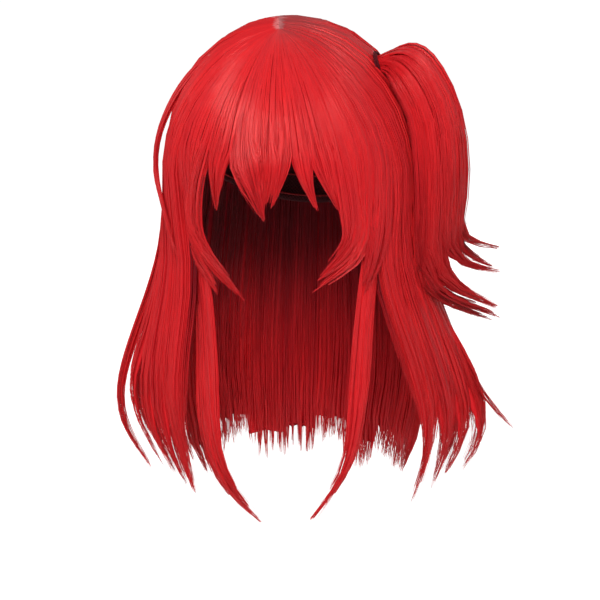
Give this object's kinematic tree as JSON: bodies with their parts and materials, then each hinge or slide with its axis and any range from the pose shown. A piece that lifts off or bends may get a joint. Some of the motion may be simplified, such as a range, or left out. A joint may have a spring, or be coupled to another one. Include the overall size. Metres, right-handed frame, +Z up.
{
  "type": "cosplay wig",
  "caption": "Long straight bright red wig with a full pointed fringe, long front locks and a side ponytail, on a fitted cap.",
  "frame": {"origin": "top of the hollow for the head, where the crown of the head meets the inside of the cap", "axes": "+Z up, the face opening looks along -Y, and +X is the wearer's left, the side with the ponytail"},
  "size_m": [0.3313, 0.238, 0.4108],
  "materials": {
    "hair": "straight synthetic hair fibre with a soft gloss",
    "cap_net": "dark red stretch net with sewn rows",
    "skin_top": "matt pale pink parting patch",
    "tie": "dark red elastic band"
  },
  "bodies": {
    "root": {"wig_cap": "cap_net", "skin_top": "skin_top", "ponytail_tie": "tie", "ponytail": "hair", "front_lock_right": "hair", "front_lock_left": "hair", "fringe": "hair", "side_hair_right": "hair", "side_hair_left": "hair", "back_hair": "hair"}
  },
  "joints": []
}
